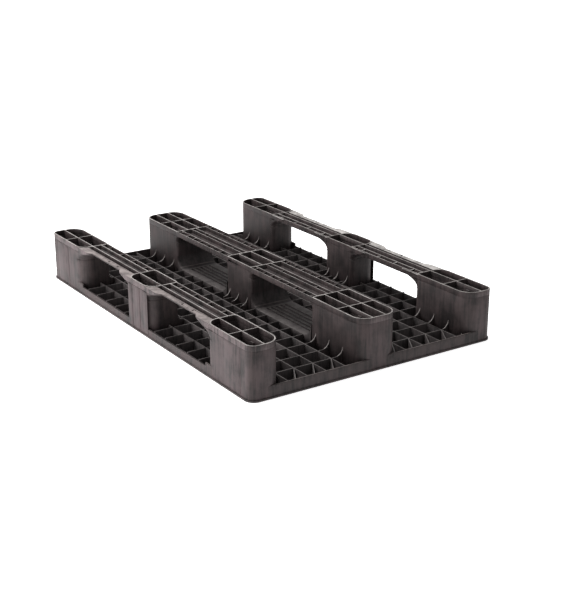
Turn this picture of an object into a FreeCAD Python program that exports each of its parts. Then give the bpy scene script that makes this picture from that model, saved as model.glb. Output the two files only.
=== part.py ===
# Three-runner plastic pallet, lying on its load deck with the runners upwards.
# Millimetres. X runs across the width, Y along the runners, Z up from the load deck's face,
# and the origin is the centre of that face. One STEP file per moulding is written to parts/.
import FreeCAD, Part
import math
import os

# ---- driving dimensions -----------------------------------------------------
pallet_length = 1200.0      # along the runners
pallet_width = 800.0        # across the runners
pallet_height = 150.0

plate_thick = 4.0           # load deck skin
lip_proud = 3.0             # the deck's edge lip stands out this far
lip_height = 5.0
deck_corner_r = 28.0
rim_thick = 5.0
end_rim_height = 35.0       # rim on the two short ends
side_rim_height = 25.0      # rim across the fork openings

rib_thick = 3.0
lattice_top = 30.0          # top of the deck's underside ribs
cross_rib_pitch = 61.5      # ribs that run across the width
long_rib_first = 101.0      # first lengthwise rib from the middle
long_rib_pitch = 59.0
brace_lean = 43.0           # sideways lean of the braces in the end rows
fin_r = 25.0                # curve that each fin makes from the cross ribs up a leg's wall
mid_fin_pitch = 49.0

outer_leg_width = 95.0
middle_leg_width = 127.0
end_leg_length = 221.0
middle_leg_length = 136.0
leg_wall = 4.0
leg_base_thick = 3.0
leg_rib_thick = 3.0
leg_cross_rib_from_end = 107.0   # cross rib of an end leg, from the leg's end face
outer_leg_rib_offset = 43.0      # lengthwise rib of an outer leg, from its outside face
middle_leg_rib_offset = 21.0     # lengthwise ribs of a middle leg, from its centre line
outside_end_r = 25.0        # plan corners of the outer legs
inside_end_r = 45.0
outside_fork_r = 36.0
inside_fork_r = 12.0
middle_end_r = 40.0         # plan corners of the middle legs
middle_fork_r = 10.0
outer_arch_run = 72.0       # arch from a leg's fork side along the runner
outer_arch_rise = 26.0      # and its height below the runner
middle_arch_run = 20.0
middle_arch_rise = 20.0

runner_thick = 16.0
runner_skin = 4.0
runner_wall = 4.0
runner_rib_thick = 3.0
strap_outer_inset = 11.0    # strap edge, in from the outer legs' outside face
strap_inner_inset = 3.0
strip_width = 14.0          # flat strip along an outer strap's outside edge
strip_thick = 4.0
strip_drop = 2.0            # the strip lies this far below the sole
strap_rib_gap = 27.0        # between the two lengthwise ribs of an outer strap
strap_cross_pitch = 77.0
blade_thick = 2.0           # the middle strap's thinner ribs
ladder_gap = 19.0           # paired ribs along the middle strap's edges
ladder_tick_pitch = 40.0
spine_gap = 17.0            # paired ribs along the middle strap's centre line
spine_tie_offset = 86.0     # ties between them, from the strap's middle
drain_hole_r = 3.5
drain_hole_gap = 57.0
drain_hole_shift = 35.0     # their middle, from the strap's middle

panel_clearance = 0.4       # panel to the legs and to the deck's ribs
panel_skin = 4.0
panel_end_r = 38.0          # curve at each end of a panel, up the leg's fork side
flute_pitch = 16.0
flute_width = 7.0
flute_depth = 2.5
panel_flat_width = 24.0     # flat band along each side of a panel

tongue_thick = 3.0          # snap tongues that hold a runner on its legs
tongue_width = 14.0
tongue_length = 20.0
barb_height = 5.0
barb_from_tip = 3.0
snap_clearance = 0.4

rivet_shaft_r = 6.0         # plastic rivets that hold a leg on the deck
rivet_head_r = 10.0
rivet_head_thick = 2.0
rivet_length = 24.0
rivet_tip_chamfer = 1.5
boss_wall = 4.0
rivet_clearance = 0.1
boss_drop = 1.0             # a boss ends this far below its rivet's chamfer
mid_leg_rivet_gap = 60.0    # along Y, in the legs that have no cross rib

over = 1.0                  # cutters run this far past what they cut
smallest_corner_r = 0.5

# ---- worked out from those --------------------------------------------------
half_length = pallet_length / 2
half_width = pallet_width / 2
body_half_length = half_length - lip_proud      # faces of the rim and of the outer legs
body_half_width = half_width - lip_proud
runner_base = pallet_height - runner_thick
fork_near = body_half_length - end_leg_length   # |Y| of an end leg's fork side
fork_far = middle_leg_length / 2                # |Y| of a middle leg's fork side
strap_middle = (fork_near + fork_far) / 2
arch_sweep = math.radians(65)                   # the arch stops short of level
arch_steps = 6
arch_foot = 0.3             # an arch stands out this far where it starts, so no face ends in a sliver
strip_top = pallet_height - strip_drop
boss_r = rivet_shaft_r + boss_wall
boss_top = rivet_length - rivet_tip_chamfer - boss_drop


def box(x0, x1, y0, y1, z0, z1):
    x0, x1 = min(x0, x1), max(x0, x1)
    y0, y1 = min(y0, y1), max(y0, y1)
    return Part.makeBox(x1 - x0, y1 - y0, z1 - z0, FreeCAD.Vector(x0, y0, z0))


def post(r, x, y, z0, z1):
    return Part.makeCylinder(r, z1 - z0, FreeCAD.Vector(x, y, z0))


def rounded_outline(x0, x1, y0, y1, radii, z):
    """Closed wire of a rectangle with its own radius at each corner, at height z.

    radii are for the corners (x0, y0), (x1, y0), (x1, y1), (x0, y1).
    """
    limit = 0.49 * min(x1 - x0, y1 - y0)
    corners = [(x0, y0, 180), (x1, y0, 270), (x1, y1, 0), (x0, y1, 90)]
    edges = []
    ends = []
    for (cx, cy, start), radius in zip(corners, radii):
        r = max(smallest_corner_r, min(radius, limit))
        mx = cx + r if cx == x0 else cx - r
        my = cy + r if cy == y0 else cy - r
        points = [FreeCAD.Vector(mx + r * math.cos(math.radians(start + a)),
                                 my + r * math.sin(math.radians(start + a)), z)
                  for a in (0, 45, 90)]
        ends.append((points, Part.Arc(*points).toShape()))
    for index, (points, arc) in enumerate(ends):
        edges.append(arc)
        following = ends[(index + 1) % 4][0][0]
        edges.append(Part.makeLine(points[2], following))
    return Part.Wire(edges)


def prism(wire, height):
    return Part.Face(wire).extrude(FreeCAD.Vector(0, 0, height))


def fuse_all(shapes):
    return shapes[0].multiFuse(shapes[1:]).removeSplitter() if len(shapes) > 1 else shapes[0]


# ---- the deck's rib grid ----------------------------------------------------
def cross_rib_places():
    """|Y| of the cross ribs, evenly spaced from the middle and clear of the end rim."""
    places = []
    y = cross_rib_pitch / 2
    while y < body_half_length - rim_thick - cross_rib_pitch / 2:
        places.append(y)
        y += cross_rib_pitch
    return places


def long_rib_places():
    """|X| of the lengthwise ribs."""
    places = []
    x = long_rib_first
    while x < body_half_width - rim_thick - long_rib_pitch / 2:
        places.append(x)
        x += long_rib_pitch
    return places


# ---- where the legs stand ---------------------------------------------------
class Leg:
    """One leg's footprint and its place in the three-by-three grid.

    column is -1 left, 0 middle, 1 right; row is -1 front, 0 middle, 1 rear.
    """

    def __init__(self, column, row):
        self.column = column
        self.row = row
        self.width = outer_leg_width if column else middle_leg_width
        if column:
            outside = column * body_half_width
            inside = outside - column * self.width
            self.x0, self.x1 = min(outside, inside), max(outside, inside)
        else:
            self.x0, self.x1 = -self.width / 2, self.width / 2
        if row:
            end = row * body_half_length
            fork = end - row * end_leg_length
            self.y0, self.y1 = min(end, fork), max(end, fork)
        else:
            self.y0, self.y1 = -fork_far, fork_far
        self.arch_run = outer_arch_run if column else middle_arch_run
        self.arch_rise = outer_arch_rise if column else middle_arch_rise
        self.flare = arch_foot + self.arch_run * (1 - math.cos(arch_sweep))

    def name(self):
        return "%s_%s" % (("left", "middle", "right")[self.column + 1],
                          ("front", "middle", "rear")[self.row + 1])

    def corner_radius(self, side, end):
        """Plan radius of the corner on this side (-1, 1) in X and this end in Y."""
        at_fork = end != self.row
        if not self.column:
            return middle_fork_r if at_fork else middle_end_r
        if side == self.column:
            return outside_fork_r if at_fork else outside_end_r
        return inside_fork_r if at_fork else inside_end_r

    def outline(self, z, inset=0.0, flare=0.0):
        """The footprint at height z, drawn in by inset, its fork sides moved out by flare."""
        y0 = self.y0 + inset - (flare if self.row != -1 else 0.0)
        y1 = self.y1 - inset + (flare if self.row != 1 else 0.0)
        radii = [self.corner_radius(side, end) - inset
                 for side, end in ((-1, -1), (1, -1), (1, 1), (-1, 1))]
        return rounded_outline(self.x0 + inset, self.x1 - inset, y0, y1, radii, z)

    def straight(self, inset=0.0, base=plate_thick, top=runner_base):
        return prism(self.outline(base, inset), top - base)

    def arch(self, inset=0.0, lift=0.0):
        """The column's top, whose fork sides arch out; lift raises it by a skin's thickness."""
        spring = runner_base - self.arch_rise + lift
        wires = []
        for step in range(arch_steps + 1):
            angle = arch_sweep * step / arch_steps
            rise = self.arch_rise * math.sin(angle) / math.sin(arch_sweep)
            flare = arch_foot + self.arch_run * (1 - math.cos(angle))
            wires.append(self.outline(spring + rise, inset, flare))
        return Part.makeLoft(wires, True, False)

    def long_ribs(self):
        """X of the lengthwise ribs inside the leg, shared with the runner above."""
        if self.column:
            return [self.column * (body_half_width - outer_leg_rib_offset)]
        return [-middle_leg_rib_offset, middle_leg_rib_offset]

    def wall_x(self, side, y):
        """X of the side wall at this Y, allowing for the rounded corners."""
        wall = self.x1 if side == 1 else self.x0
        for end, edge in ((-1, self.y0), (1, self.y1)):
            radius = self.corner_radius(side, end)
            depth = radius - abs(y - edge)
            if depth > 0:
                return wall - side * (radius - math.sqrt(radius ** 2 - depth ** 2))
        return wall

    def fin_places(self):
        """(side, Y) of the fins at the leg's foot: on the deck's cross ribs, or three evenly."""
        sides = (-self.column,) if self.column else (-1, 1)
        places = [-mid_fin_pitch, 0.0, mid_fin_pitch]
        if self.row:
            places = [self.row * y for y in cross_rib_places()]
        margin = leg_wall + rib_thick
        return [(side, y) for side in sides for y in places
                if self.y0 + margin < y < self.y1 - margin]

    def cross_ribs(self):
        """Y of the cross ribs inside the leg."""
        return [self.row * (body_half_length - leg_cross_rib_from_end)] if self.row else []

    def rivet_places(self):
        """Four places clear of the ribs, in the middles of the outer cells."""
        ribs = self.long_ribs()
        columns = [(self.x0 + leg_wall + ribs[0]) / 2, (self.x1 - leg_wall + ribs[-1]) / 2]
        if self.row:
            across = self.cross_ribs()[0]
            rows = [(self.y0 + across) / 2, (self.y1 + across) / 2]
        else:
            rows = [-mid_leg_rivet_gap / 2, mid_leg_rivet_gap / 2]
        return [(x, y) for x in columns for y in rows]

    def snap_places(self):
        """(rib X, Y, side) of the snap tongues, one each side of the leg's middle."""
        x = self.long_ribs()[0]
        length = self.y1 - self.y0
        middle = (self.y0 + self.y1) / 2
        return [(x, middle + turn * length / 4, turn) for turn in (-1, 1)]


legs = [Leg(column, row) for column in (-1, 0, 1) for row in (-1, 0, 1)]


# ---- load deck --------------------------------------------------------------
def make_plate():
    outline = rounded_outline(-half_width, half_width, -half_length, half_length,
                              [deck_corner_r] * 4, 0)
    lip = rounded_outline(-body_half_width + rim_thick, body_half_width - rim_thick,
                          -body_half_length + rim_thick, body_half_length - rim_thick,
                          [deck_corner_r - lip_proud - rim_thick] * 4, plate_thick)
    return prism(outline, lip_height).cut(prism(lip, lip_height))


def make_rim():
    radius = deck_corner_r - lip_proud
    outside = rounded_outline(-body_half_width, body_half_width, -body_half_length,
                              body_half_length, [radius] * 4, plate_thick)
    inside = rounded_outline(-body_half_width + rim_thick, body_half_width - rim_thick,
                             -body_half_length + rim_thick, body_half_length - rim_thick,
                             [radius - rim_thick] * 4, plate_thick)
    ring = prism(outside, end_rim_height - plate_thick).cut(prism(inside, end_rim_height))
    reach = half_width + lip_proud
    lowered = box(-reach, reach, -fork_near, fork_near, side_rim_height, end_rim_height + over)
    return ring.cut(lowered)


def make_lattice():
    side = body_half_width - rim_thick / 2
    end = body_half_length - rim_thick / 2
    half = rib_thick / 2
    ribs = []
    for y in cross_rib_places():
        for turn in (-1, 1):
            ribs.append(box(-side, side, turn * y - half, turn * y + half,
                            plate_thick / 2, lattice_top))
    for x in long_rib_places():
        for turn in (-1, 1):
            ribs.append(box(turn * x - half, turn * x + half, -end, end,
                            plate_thick / 2, lattice_top))
    return ribs


def make_braces():
    """Slanted ribs from the last cross rib to the end rim, one at each lengthwise rib."""
    last = cross_rib_places()[-1]
    span = body_half_length - rim_thick / 2 - last
    length = math.hypot(brace_lean, span)
    braces = []
    for x in long_rib_places():
        for side in (-1, 1):
            for end in (-1, 1):
                blade = box(0, length, -rib_thick / 2, rib_thick / 2, plate_thick / 2, lattice_top)
                turn = math.degrees(math.atan2(end * span, -brace_lean))
                blade.rotate(FreeCAD.Vector(0, 0, 0), FreeCAD.Vector(0, 0, 1), turn)
                blade.translate(FreeCAD.Vector(side * x, end * last, 0))
                braces.append(blade)
    return braces


def panel_limits(end):
    """Y limits of the panel in the front (-1) or rear (1) fork opening."""
    near = end * (fork_far + panel_clearance)
    far = end * (fork_near - panel_clearance)
    return min(near, far), max(near, far)


def panel_half_width():
    return middle_leg_width / 2


def panel_room(end):
    y0, y1 = panel_limits(end)
    side = panel_half_width() + panel_clearance
    return box(-side, side, y0 - panel_clearance, y1 + panel_clearance, plate_thick, pallet_height)


def rivet_hole(x, y):
    shaft = post(rivet_shaft_r + rivet_clearance, x, y, -over, boss_top + over)
    head = post(rivet_head_r + rivet_clearance, x, y, -over, rivet_head_thick)
    return shaft.fuse(head)


def make_deck():
    solid = fuse_all([make_plate(), make_rim()] + make_lattice() + make_braces())
    room = [prism(leg.outline(plate_thick), pallet_height) for leg in legs]
    room += [fin_room(leg, side, y) for leg in legs for side, y in leg.fin_places()]
    room += [panel_room(end) for end in (-1, 1)]
    room += [rivet_hole(x, y) for leg in legs for x, y in leg.rivet_places()]
    return solid.cut(room)


# ---- legs -------------------------------------------------------------------
def fin_room(leg, side, y):
    """The space of a fin between the leg's wall and the deck's cut-back cross rib."""
    wall = leg.wall_x(side, y)
    return box(wall - side * leg_wall, wall + side * fin_r, y - rib_thick / 2,
               y + rib_thick / 2, plate_thick, lattice_top + fin_r)


def make_fin(leg, side, y):
    """A plate on the deck that carries a cross rib's top up the leg's side wall."""
    wall = leg.wall_x(side, y)
    centre = FreeCAD.Vector(wall + side * fin_r, y - rib_thick, lattice_top + fin_r)
    scoop = Part.makeCylinder(fin_r, 2 * rib_thick, centre, FreeCAD.Vector(0, 1, 0))
    return fin_room(leg, side, y).cut(scoop)


def make_leg(leg):
    """The cup with its ribs, and beside it its arches and fins, each a solid that touches it."""
    outer = leg.straight()
    shell = outer.cut(leg.straight(leg_wall, plate_thick + leg_base_thick, runner_base + over))
    top = runner_base
    low = plate_thick + leg_base_thick / 2
    half = leg_rib_thick / 2
    ribs = [box(x - half, x + half, leg.y0, leg.y1, low, top) for x in leg.long_ribs()]
    ribs += [box(leg.x0, leg.x1, y - half, y + half, low, top) for y in leg.cross_ribs()]
    ribs = [rib.common(outer) for rib in ribs]
    bosses = [post(boss_r, x, y, low, boss_top) for x, y in leg.rivet_places()]
    cup = fuse_all([shell] + ribs + bosses)
    cuts = [rivet_hole(x, y) for x, y in leg.rivet_places()]
    for x, y, _ in leg.snap_places():
        cuts.append(snap_window(x, y))
    arches = leg.arch().cut([outer, leg.arch(leg_wall, leg_wall)])
    fins = [make_fin(leg, side, y).cut(outer) for side, y in leg.fin_places()]
    return Part.makeCompound(cup.cut(cuts).Solids + arches.Solids + fins)


# ---- snap joints between the runners and the legs ---------------------------
def snap_levels():
    tip = runner_base - tongue_length
    return tip, tip + barb_from_tip, tip + barb_from_tip + barb_height


def snap_window(x, y):
    _, low, high = snap_levels()
    half = leg_rib_thick / 2 + over
    wide = tongue_width / 2 + snap_clearance
    return box(x - half, x + half, y - wide, y + wide, low - snap_clearance, high + snap_clearance)


def snap_tongue(x, y, side):
    """A tongue beside the leg's lengthwise rib, with a barb through the rib's window."""
    tip, low, high = snap_levels()
    near = leg_rib_thick / 2 + snap_clearance
    far = near + tongue_thick
    half = tongue_width / 2
    top = runner_base + runner_skin
    blade = box(x + near, x + far, y - half, y + half, tip, top)
    bridge = box(x, x + far, y - half, y + half, runner_base, top)
    barb = box(x - leg_rib_thick / 2 - snap_clearance, x + far, y - half, y + half, low, high)
    turned = [blade, bridge, barb]
    if side < 0:
        turned = [part.mirror(FreeCAD.Vector(x, y, 0), FreeCAD.Vector(1, 0, 0)) for part in turned]
    return turned


# ---- runners ----------------------------------------------------------------
def strap_limits(column):
    """X limits of a runner's straps."""
    if not column:
        return -middle_leg_width / 2, middle_leg_width / 2
    outside = column * (body_half_width - strap_outer_inset)
    inside = column * (body_half_width - outer_leg_width + strap_inner_inset)
    return min(outside, inside), max(outside, inside)


def spread(middle, length, pitch):
    """Places at this pitch, an even number of them about the middle, within the length."""
    pairs = int(length / pitch / 2 + 0.5)
    return [middle + turn * (step + 0.5) * pitch for step in range(pairs) for turn in (-1, 1)]


def outer_strap(column, y0, y1, middle):
    """Lengthwise ribs on a skin, cross ribs between the inner two, and a thin outside strip."""
    half = runner_rib_thick / 2
    outside = body_half_width - strap_outer_inset
    body = outside - strip_width
    inside = body_half_width - outer_leg_width + strap_inner_inset
    first = body_half_width - outer_leg_rib_offset
    second = first - strap_rib_gap
    shapes = [box(column * body, column * inside, y0, y1, runner_base, runner_base + runner_skin),
              box(column * body, column * (body - runner_rib_thick), y0, y1, runner_base, strip_top),
              box(column * outside, column * (body - half), y0, y1,
                  strip_top - strip_thick, strip_top)]
    for x in (first, second, inside + half):
        shapes.append(box(column * x - half, column * x + half, y0, y1,
                          runner_base, pallet_height))
    for y in spread(middle, fork_near - fork_far, strap_cross_pitch):
        shapes.append(box(column * second, column * (inside + half), y - half, y + half,
                          runner_base, strip_top))
    return fuse_all(shapes)


def middle_strap(y0, y1, middle):
    """A skin with a ladder of thin ribs along each edge and a tied pair along the centre."""
    half = blade_thick / 2
    edge = middle_leg_width / 2 - half
    spine = spine_gap / 2
    shapes = [box(-edge - half, edge + half, y0, y1, runner_base, runner_base + runner_skin)]
    for x in (edge, edge - ladder_gap, spine):
        for turn in (-1, 1):
            shapes.append(box(turn * x - half, turn * x + half, y0, y1,
                              runner_base, pallet_height))
    for y in spread(middle, y1 - y0, ladder_tick_pitch):
        for turn in (-1, 1):
            shapes.append(box(turn * edge, turn * (edge - ladder_gap), y - half, y + half,
                              runner_base, strip_top))
    for turn in (-1, 1):
        y = middle + turn * spine_tie_offset
        shapes.append(box(-spine, spine, y - half, y + half, runner_base, strip_top))
    return fuse_all(shapes)


def make_strap(column, end):
    """A strap between two legs, long enough to run into both feet."""
    bite = outer_leg_width if column else middle_fork_r + runner_wall
    near, far = end * (fork_far - bite / 2), end * (fork_near + bite / 2)
    y0, y1 = min(near, far), max(near, far)
    middle = end * strap_middle
    return outer_strap(column, y0, y1, middle) if column else middle_strap(y0, y1, middle)


def drain_holes(column, end):
    """Two small drain holes through an outer strap's flat strip."""
    x = column * (body_half_width - strap_outer_inset - strip_width / 2)
    middle = end * strap_middle + column * drain_hole_shift
    return [post(drain_hole_r, x, middle + turn * drain_hole_gap / 2,
                 runner_base - over, pallet_height + over) for turn in (-1, 1)]


def arch_cover(leg, hole):
    """Skin over a leg's flared top and, beside an outer strap, edges that end the arch."""
    flared = leg.outline(runner_base, 0, leg.flare)
    skin = prism(flared, runner_skin)
    if not leg.column:
        return [skin.cut(hole)]
    level = strip_top - strip_thick
    widest = leg.outline(level, 0, leg.arch_run)
    x0, x1 = strap_limits(leg.column)
    strap = box(x0, x1, leg.y0 - leg.arch_run - over, leg.y1 + leg.arch_run + over,
                runner_base, pallet_height)
    edges = [Part.makeLoft([flared, widest], True, False), prism(widest, strip_thick)]
    return [skin.cut(hole)] + [edge.cut([hole, strap]) for edge in edges]


def make_foot(leg):
    """The runner over a leg: a rim on the leg's wall, ribs over the leg's ribs, and tongues."""
    rim = prism(leg.outline(runner_base), runner_thick)
    hole = prism(leg.outline(runner_base, runner_wall), runner_thick)
    half = runner_rib_thick / 2
    shapes = [rim.cut(hole)] + arch_cover(leg, hole)
    for x in leg.long_ribs():
        rib = box(x - half, x + half, leg.y0, leg.y1, runner_base, pallet_height)
        shapes.append(rib.common(rim))
    for y in leg.cross_ribs():
        rib = box(leg.x0, leg.x1, y - half, y + half, runner_base, pallet_height)
        shapes.append(rib.common(rim))
    for place in leg.snap_places():
        shapes += snap_tongue(*place)
    return shapes, hole


def make_runner(column):
    feet = []
    straps = [make_strap(column, end) for end in (-1, 1)]
    for leg in legs:
        if leg.column == column:
            shapes, hole = make_foot(leg)
            feet += shapes
            straps = [strap.cut(hole) for strap in straps]
    solid = fuse_all(straps + feet)
    if not column:
        return solid
    return solid.cut([hole for end in (-1, 1) for hole in drain_holes(column, end)])


# ---- floor panels under the middle runner -----------------------------------
def make_panel(end):
    """A fluted floor whose ends curve up the legs' fork sides."""
    y0, y1 = panel_limits(end)
    half = panel_half_width()
    r = panel_end_r
    top = lattice_top
    floor = plate_thick
    bend = math.radians(45)
    curve_low = FreeCAD.Vector(-half, y0 + r * (1 - math.sin(bend)), top + r * (1 - math.cos(bend)))
    curve_high = FreeCAD.Vector(-half, y1 - r * (1 - math.sin(bend)), top + r * (1 - math.cos(bend)))

    def at(y, z):
        return FreeCAD.Vector(-half, y, z)

    edges = [Part.makeLine(at(y0, floor), at(y1, floor)), Part.makeLine(at(y1, floor), at(y1, top + r)),
             Part.Arc(at(y1, top + r), curve_high, at(y1 - r, top)).toShape(),
             Part.makeLine(at(y1 - r, top), at(y0 + r, top)),
             Part.Arc(at(y0 + r, top), curve_low, at(y0, top + r)).toShape(),
             Part.makeLine(at(y0, top + r), at(y0, floor))]
    solid = Part.Face(Part.Wire(edges)).extrude(FreeCAD.Vector(2 * half, 0, 0))
    cells = math.ceil((y1 - y0 - panel_skin) / cross_rib_pitch)
    pitch = (y1 - y0 - panel_skin) / cells
    cuts = [box(-half + panel_skin, half - panel_skin, y0 + cell * pitch + panel_skin,
                y0 + (cell + 1) * pitch, floor - over, top - panel_skin) for cell in range(cells)]
    span = half - panel_flat_width
    count = int(2 * span / flute_pitch)
    for step in range(count + 1):
        x = -count * flute_pitch / 2 + step * flute_pitch
        cuts.append(box(x - flute_width / 2, x + flute_width / 2, y0 + r, y1 - r,
                        top - flute_depth, top + r))
    return solid.cut(cuts)


# ---- rivets between the legs and the deck -----------------------------------
def make_rivets(leg):
    """The leg's four rivets, head flush in the deck's face, as separate solids."""
    rivets = []
    for x, y in leg.rivet_places():
        head = post(rivet_head_r, x, y, 0, rivet_head_thick)
        straight = rivet_length - rivet_tip_chamfer
        shaft = post(rivet_shaft_r, x, y, 0, straight)
        tip = Part.makeCone(rivet_shaft_r, rivet_shaft_r - rivet_tip_chamfer, rivet_tip_chamfer,
                            FreeCAD.Vector(x, y, straight))
        rivets.append(head.multiFuse([shaft, tip]).removeSplitter())
    return Part.makeCompound(rivets)


# ---- write the parts --------------------------------------------------------
def save(name, shape):
    if not shape.isValid():
        print("not valid:", name)
    print("%-26s solids %d  volume %.0f cm3" % (name, len(shape.Solids), shape.Volume / 1000))
    shape.exportStep("parts/%s.step" % name)


os.makedirs("parts", exist_ok=True)
save("load_deck", make_deck())
for leg in legs:
    save("leg_" + leg.name(), make_leg(leg))
    save("rivets_" + leg.name(), make_rivets(leg))
for column, place in ((-1, "left"), (0, "middle"), (1, "right")):
    save("runner_" + place, make_runner(column))
for end, place in ((-1, "front"), (1, "rear")):
    save("floor_panel_" + place, make_panel(end))
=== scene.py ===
# Three-runner plastic pallet lying on its load deck, runners up, in soft studio light.
import math

import bpy
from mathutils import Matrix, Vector


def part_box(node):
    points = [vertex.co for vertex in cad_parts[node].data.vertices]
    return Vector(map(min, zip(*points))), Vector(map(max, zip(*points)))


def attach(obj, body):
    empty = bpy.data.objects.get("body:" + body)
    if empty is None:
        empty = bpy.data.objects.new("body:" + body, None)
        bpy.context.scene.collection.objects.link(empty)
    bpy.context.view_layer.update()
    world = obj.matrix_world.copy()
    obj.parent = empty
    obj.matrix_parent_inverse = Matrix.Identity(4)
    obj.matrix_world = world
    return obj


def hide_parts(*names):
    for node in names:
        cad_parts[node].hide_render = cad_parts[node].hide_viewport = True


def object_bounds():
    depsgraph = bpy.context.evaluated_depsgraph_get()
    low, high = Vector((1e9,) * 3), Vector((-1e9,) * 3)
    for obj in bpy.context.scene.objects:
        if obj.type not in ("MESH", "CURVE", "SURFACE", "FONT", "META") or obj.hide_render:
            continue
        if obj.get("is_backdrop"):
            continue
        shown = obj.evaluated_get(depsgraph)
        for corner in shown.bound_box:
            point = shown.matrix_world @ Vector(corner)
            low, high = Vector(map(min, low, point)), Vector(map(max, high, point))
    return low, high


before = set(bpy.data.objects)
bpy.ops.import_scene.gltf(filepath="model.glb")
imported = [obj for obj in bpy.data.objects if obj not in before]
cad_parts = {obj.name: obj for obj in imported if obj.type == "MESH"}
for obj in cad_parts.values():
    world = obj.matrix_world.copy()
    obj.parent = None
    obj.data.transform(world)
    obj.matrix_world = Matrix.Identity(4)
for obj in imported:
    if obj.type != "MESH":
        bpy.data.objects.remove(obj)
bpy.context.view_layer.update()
mm = 0.001
columns = ("left", "middle", "right")
rows = ("front", "middle", "rear")
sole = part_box("runner_middle")[1].z
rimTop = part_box("load_deck")[1].z
latticeTop = rimTop - 5 * mm
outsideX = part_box("leg_right_front")[1].x
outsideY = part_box("leg_right_rear")[1].y
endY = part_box("load_deck")[1].y


def linear(hexColour):
    # sRGB hex to linear RGBA
    values = [int(hexColour[i:i + 2], 16) / 255 for i in (0, 2, 4)]
    return [v / 12.92 if v <= 0.04045 else ((v + 0.055) / 1.055) ** 2.4 for v in values] + [1.0]


# adds a node and gives its outputs: each input, by name or number, takes a value or a link
def addNode(tree, kind, inputs, **options):
    node = tree.nodes.new(kind)
    for option, value in options.items():
        setattr(node, option, value)
    for socket, value in inputs.items():
        if isinstance(value, bpy.types.NodeSocket):
            tree.links.new(value, node.inputs[socket])
        else:
            node.inputs[socket].default_value = value
    return node.outputs


# recycled HDPE out of a steel mould: near black, cloudy, with flow streaks down the walls,
# outside faces painted lighter as painted light, rib tops rubbed pale and given a painted
# highlight at the heights that "tops" names, and a painted highlight on the legs' fin edges
looks = {
    "deck": {"name": "hdpeDeckMoulded", "dark": "2b2828", "light": "433d3d", "side": "443b3b",
             "roughness": 0.6, "tops": ((latticeTop, "5d5857"), (rimTop, "645c5a"))},
    # the legs' look also holds a painted highlight colour for their sloping fin edges
    "leg": {"name": "hdpeLegMoulded", "dark": "292525", "light": "423939", "side": "4c4243",
            "roughness": 0.58, "tops": ((latticeTop, "5d5857"),),
            "fins": "8d8785", "finHeights": (31, 57)},
    "runner": {"name": "hdpeRunnerMoulded", "dark": "262222", "light": "413838",
               "side": "5e5354", "roughness": 0.55,
               "tops": ((sole, "a39e9b"), (sole - 2 * mm, "847b79"))},
    # the right runner's own copy of the runner finish: its ledge 2 mm under the sole painted
    # paler, a stronger painted highlight than on the other runners
    "runnerRight": {"name": "hdpeRunnerMouldedHighlitLedge", "dark": "262222", "light": "413838",
                    "side": "5e5354", "roughness": 0.55,
                    "tops": ((sole, "96918e"), (sole - 2 * mm, "b5b1ae"))},
    "rivet": {"name": "hdpeRivetMoulded", "dark": "191616", "light": "262121",
              "side": "262121", "roughness": 0.5, "tops": ()},
}
plastic = {
    "streakWidth": 9,             # mm, flow streaks drawn down the walls
    "streakLength": 110,          # mm
    "mottle": 45,                 # mm, cloudy mix of the recycled melt
    "cloudRange": (0.8, 1.2),     # sum of the streak and mottle noise, from dark to light
    "sideBand": 4.0,              # mm in from the outside faces where the painted light starts
    "sideFull": 0.5,              # mm in from them where it is whole
    "sideShare": 1.0,             # of it on the long sides
    "endShare": 0.55,             # and on the ends
    "patch": 26,                  # mm, where the rubbed tops with their painted highlight stay dark
    "patchRange": (0.35, 0.6),    # noise, from a dark patch to a rubbed, highlighted one
    "patchLeast": 0.35,           # share of the rubbing and painted highlight that a dark patch still has
    "topBand": 0.9,               # mm of height that counts as a rubbed top with a painted highlight
    "topFacing": (0.6, 0.95),     # upward share of the normal, from a wall to a top
    "finFacing": (0.1, 0.3),      # the same, from a wall to a fin's sloping edge
    "polishRange": (0.7, 1.3),    # noise, from the smoothest to the roughest
    "smoother": 0.06,             # roughness less
    "rougher": 0.1,               # roughness more
    "grain": 1.6,                 # mm, mould texture, drawn coarser than the real 0.3 to show
    "grainDepth": 0.1,            # mm
    "grainStrength": 0.2,
    "streakDepth": 0.5,           # mm
    "streakStrength": 0.35,
    "ior": 1.5,                   # polyethylene
    "shine": 0.2,                 # dusty, so the mirror share is low
}


# painted light: the outside faces are painted a lighter brownish grey than the shaded inside,
# the long sides more than the ends; a Mix node's colours are its inputs 6 and 7 and its output 2
def paintedOutsideLight(tree, colour, cloud, sides, look):
    for axis, reach, most in sides:
        distance = addNode(tree, "ShaderNodeMath", {0: axis}, operation="ABSOLUTE")[0]
        near = addNode(tree, "ShaderNodeMapRange",
                       {"Value": distance, "From Min": reach - plastic["sideBand"] * mm,
                        "From Max": reach - plastic["sideFull"] * mm, "To Max": most})[0]
        mask = addNode(tree, "ShaderNodeMath", {0: near, 1: cloud}, operation="MULTIPLY")[0]
        colour = addNode(tree, "ShaderNodeMix", {0: mask, 6: colour, 7: linear(look["side"])},
                         data_type="RGBA")[2]
    return colour


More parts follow.
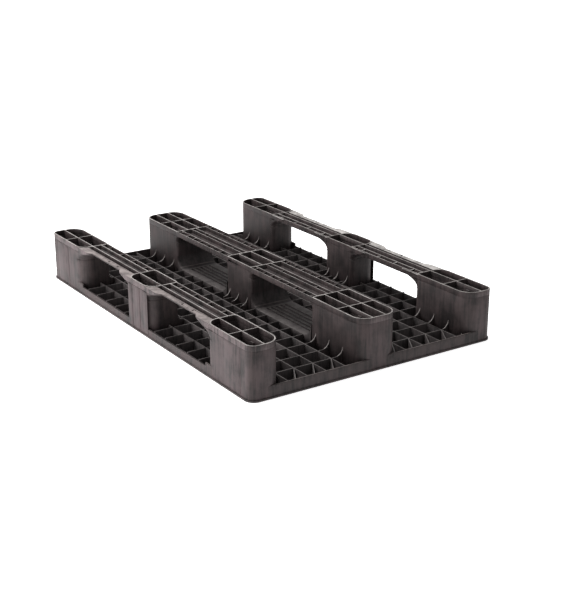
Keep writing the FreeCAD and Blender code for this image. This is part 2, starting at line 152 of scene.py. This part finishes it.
# tops are rubbed pale and given a painted highlight, only where the surface faces up
def rubbedAndHighlightedTops(tree, colour, place, height, up, look):
    patches = addNode(tree, "ShaderNodeTexNoise",
                      {"Vector": place, "Scale": 1 / (plastic["patch"] * mm), "Detail": 5.0,
                       "Roughness": 0.7})[0]
    dark, pale = plastic["patchRange"]
    patchy = addNode(tree, "ShaderNodeMapRange",
                     {"Value": patches, "From Min": dark, "From Max": pale,
                      "To Min": plastic["patchLeast"]})[0]
    wall, top = plastic["topFacing"]
    facing = addNode(tree, "ShaderNodeMapRange",
                     {"Value": up, "From Min": wall, "From Max": top})[0]
    rubAndHighlight = addNode(tree, "ShaderNodeMath", {0: facing, 1: patchy}, operation="MULTIPLY")[0]
    for level, wornAndHighlight in look["tops"]:
        band = addNode(tree, "ShaderNodeMath", {0: height, 1: level, 2: plastic["topBand"] * mm},
                       operation="COMPARE")[0]
        mask = addNode(tree, "ShaderNodeMath", {0: rubAndHighlight, 1: band}, operation="MULTIPLY")[0]
        colour = addNode(tree, "ShaderNodeMix", {0: mask, 6: colour, 7: linear(wornAndHighlight)},
                         data_type="RGBA")[2]
    return colour


# painted highlight: the sloping edges of the legs' fin ribs, the only sloping faces between
# these heights, are painted pale
def paintedFinHighlight(tree, colour, height, up, look):
    low, high = (level * mm for level in look["finHeights"])
    band = addNode(tree, "ShaderNodeMath",
                   {0: height, 1: (low + high) / 2, 2: (high - low) / 2}, operation="COMPARE")[0]
    wall, slope = plastic["finFacing"]
    sloping = addNode(tree, "ShaderNodeMapRange",
                      {"Value": up, "From Min": wall, "From Max": slope})[0]
    mask = addNode(tree, "ShaderNodeMath", {0: sloping, 1: band}, operation="MULTIPLY")[0]
    return addNode(tree, "ShaderNodeMix", {0: mask, 6: colour, 7: linear(look["fins"])},
                   data_type="RGBA")[2]


def relief(tree, place, streaks):
    grain = addNode(tree, "ShaderNodeTexNoise",
                    {"Vector": place, "Scale": 1 / (plastic["grain"] * mm), "Detail": 2.0})[0]
    drawn = addNode(tree, "ShaderNodeBump",
                    {"Height": streaks, "Strength": plastic["streakStrength"],
                     "Distance": plastic["streakDepth"] * mm})[0]
    return addNode(tree, "ShaderNodeBump",
                   {"Height": grain, "Normal": drawn, "Strength": plastic["grainStrength"],
                    "Distance": plastic["grainDepth"] * mm})[0]


def mouldedPolyethylene(look):
    material = bpy.data.materials.new(look["name"])
    material.use_nodes = True
    tree = material.node_tree
    coordinates = addNode(tree, "ShaderNodeTexCoord", {})
    place = coordinates["Object"]
    x, y, height = addNode(tree, "ShaderNodeSeparateXYZ", {0: place})
    up = addNode(tree, "ShaderNodeSeparateXYZ", {0: coordinates["Normal"]})[2]

    across, along = 1 / (plastic["streakWidth"] * mm), 1 / (plastic["streakLength"] * mm)
    stretched = addNode(tree, "ShaderNodeMapping",
                        {"Vector": place, "Scale": (across, across, along)})[0]
    streaks = addNode(tree, "ShaderNodeTexNoise",
                      {"Vector": stretched, "Scale": 1.0, "Detail": 3.0, "Roughness": 0.65})[0]
    mottle = addNode(tree, "ShaderNodeTexNoise",
                     {"Vector": place, "Scale": 1 / (plastic["mottle"] * mm), "Detail": 4.0,
                      "Roughness": 0.6})[0]
    mixed = addNode(tree, "ShaderNodeMath", {0: streaks, 1: mottle}, operation="ADD")[0]

    dark, light = plastic["cloudRange"]
    cloud = addNode(tree, "ShaderNodeMapRange",
                    {"Value": mixed, "From Min": dark, "From Max": light})[0]
    colour = addNode(tree, "ShaderNodeMix",
                     {0: cloud, 6: linear(look["dark"]), 7: linear(look["light"])},
                     data_type="RGBA")[2]
    # painted light: each look's "side" colour makes the outside faces lighter than the shaded
    # inside
    sides = ((x, outsideX, plastic["sideShare"]), (y, outsideY, plastic["endShare"]))
    colour = paintedOutsideLight(tree, colour, cloud, sides, look)
    # the up-facing tops: rubbed pale, partly wear and partly a painted highlight
    colour = rubbedAndHighlightedTops(tree, colour, place, height, up, look)
    # painted highlight on the legs' sloping fin edges
    if "fins" in look:
        colour = paintedFinHighlight(tree, colour, height, up, look)

    smooth, rough = plastic["polishRange"]
    roughness = addNode(tree, "ShaderNodeMapRange",
                        {"Value": mixed, "From Min": smooth, "From Max": rough,
                         "To Min": look["roughness"] - plastic["smoother"],
                         "To Max": look["roughness"] + plastic["rougher"]})[0]

    shader = tree.nodes["Principled BSDF"].inputs
    tree.links.new(colour, shader["Base Color"])
    tree.links.new(roughness, shader["Roughness"])
    tree.links.new(relief(tree, place, streaks), shader["Normal"])
    shader["IOR"].default_value = plastic["ior"]
    shader["Specular IOR Level"].default_value = plastic["shine"]
    return material


finishes = {key: mouldedPolyethylene(look) for key, look in looks.items()}
print("finishes made:", ", ".join(finishes))


def deselectAll():
    if bpy.context.mode != "OBJECT":
        bpy.ops.object.mode_set(mode="OBJECT")
    bpy.ops.object.select_all(action="DESELECT")


def choose(piece):
    deselectAll()
    piece.select_set(True)
    bpy.context.view_layer.objects.active = piece


# a mould's polished corners
rounding = {
    "load_deck": 0.8, "leg": 1.2, "runner": 0.6, "floor_panel": 0.8, "rivets": 0.5,   # mm
    "weld": 0.01,                           # mm within which the CAD mesh's corners are one
    "segments": 2,
    "sharpFrom": 38, "smoothUpTo": 32,      # degrees between faces
}


def roundEdges(piece, radius):
    choose(piece)
    bevel = piece.modifiers.new("edgeRadius", "BEVEL")
    bevel.width = radius * mm
    bevel.segments = rounding["segments"]
    bevel.limit_method = "ANGLE"
    bevel.angle_limit = math.radians(rounding["sharpFrom"])
    bevel.use_clamp_overlap = False
    bpy.ops.object.modifier_apply(modifier=bevel.name)
    bpy.ops.object.shade_smooth_by_angle(angle=math.radians(rounding["smoothUpTo"]))


# the CAD moulding again, with rounded edges
def softened(node, kind, finish):
    choose(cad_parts[node])
    bpy.ops.object.duplicate()
    piece = bpy.context.active_object
    piece.name = node + "_moulding"
    for key in list(piece.keys()):
        del piece[key]
    piece.parent = None
    choose(piece)
    bpy.ops.object.mode_set(mode="EDIT")
    bpy.ops.mesh.select_all(action="SELECT")
    bpy.ops.mesh.remove_doubles(threshold=rounding["weld"] * mm)
    bpy.ops.object.mode_set(mode="OBJECT")
    roundEdges(piece, rounding[kind])
    piece.data.materials.clear()
    piece.data.materials.append(finish)
    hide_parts(node)
    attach(piece, "root")


softened("load_deck", "load_deck", finishes["deck"])
for column in columns:
    runnerFinish = finishes["runnerRight" if column == "right" else "runner"]
    softened("runner_" + column, "runner", runnerFinish)
    for row in rows:
        place = column + "_" + row
        softened("leg_" + place, "leg", finishes["leg"])
        softened("rivets_" + place, "rivets", finishes["rivet"])
for end in ("front", "rear"):
    softened("floor_panel_" + end, "floor_panel", finishes["deck"])
print("mouldings softened")

# shallow raised bands on the outer legs' outside faces
pads = {
    "proud": 0.9,                 # mm that a pad stands out of the face
    "foot": 9.0, "head": 131.0,   # mm, heights of its lower and upper edge
    "endLeg": (51, 128),          # mm from the pallet's end
    "middleLeg": ((-58, -34), (-12, 12), (34, 58)),   # mm from the pallet's middle
    "edge": 0.8,                  # mm, radius of its edges
}


def legPad(name, side, yLow, yHigh):
    low, high = pads["foot"] * mm, pads["head"] * mm
    deselectAll()
    bpy.ops.mesh.primitive_cube_add(size=1, location=(side * outsideX, (yLow + yHigh) / 2,
                                                      (low + high) / 2))
    pad = bpy.context.active_object
    pad.name = name
    pad.scale = (2 * pads["proud"] * mm, yHigh - yLow, high - low)
    bpy.ops.object.transform_apply(location=True, rotation=False, scale=True)
    roundEdges(pad, pads["edge"])
    pad.data.materials.append(finishes["leg"])
    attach(pad, "root")


for side, column in ((-1, "left"), (1, "right")):
    for end, row in ((-1, "front"), (1, "rear")):
        near, far = (end * (endY - edge * mm) for edge in pads["endLeg"])
        legPad("legPad_%s_%s" % (column, row), side, min(near, far), max(near, far))
    for index, (low, high) in enumerate(pads["middleLeg"]):
        legPad("legPad_%s_middle_%d" % (column, index), side, low * mm, high * mm)
print("leg pads made")

studio = {
    "floor": "fafafa", "floorSize": 30.0,
    "floorDrop": 0.0005,     # m, clear of the deck's face
    "floorRoughness": 0.9,
    "glow": 0.76,            # of the floor, lit from below as on a light table
    "world": 0.5,
    "camera": (-1.8231, -2.8859, 1.2312), "target": (-0.0027, -0.1416, 0.075), "lens": 73.3,
    "lamps": (
        # name, place, aimed at, size in metres, watts
        ("leftKey", (-3.4, 0.6, 1.0), (0, 0, 0.05), 1.8, 108),
        ("overhead", (-0.4, 1.6, 3.0), (0, 0, 0.05), 1.6, 120),
    ),
}


def aim(item, target):
    item.rotation_euler = (Vector(target) - item.location).to_track_quat("-Z", "Y").to_euler()


def paperFloor():
    bpy.ops.mesh.primitive_plane_add(size=studio["floorSize"],
                                     location=(0, 0, -studio["floorDrop"]))
    floor = bpy.context.active_object
    floor.name = "floor"
    paint = bpy.data.materials.new("floorPaper")
    paint.use_nodes = True
    paper = paint.node_tree.nodes["Principled BSDF"].inputs
    paper["Base Color"].default_value = linear(studio["floor"])
    paper["Roughness"].default_value = studio["floorRoughness"]
    paper["Emission Color"].default_value = linear(studio["floor"])
    paper["Emission Strength"].default_value = studio["glow"]
    floor.data.materials.append(paint)
    floor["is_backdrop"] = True


paperFloor()

world = bpy.data.worlds.new("studioWorld")
bpy.context.scene.world = world
world.use_nodes = True
world.node_tree.nodes["Background"].inputs["Color"].default_value = (1, 1, 1, 1)
world.node_tree.nodes["Background"].inputs["Strength"].default_value = studio["world"]

for name, place, target, size, watts in studio["lamps"]:
    bpy.ops.object.light_add(type="AREA", location=place)
    lamp = bpy.context.active_object
    lamp.name = name
    lamp.data.size = size
    lamp.data.energy = watts
    aim(lamp, target)

bpy.ops.object.camera_add(location=studio["camera"])
camera = bpy.context.active_object
camera.data.lens = studio["lens"]
aim(camera, studio["target"])
bpy.context.scene.camera = camera
bpy.context.scene.view_settings.view_transform = "Standard"
print("floor, light and camera set")

low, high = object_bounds()
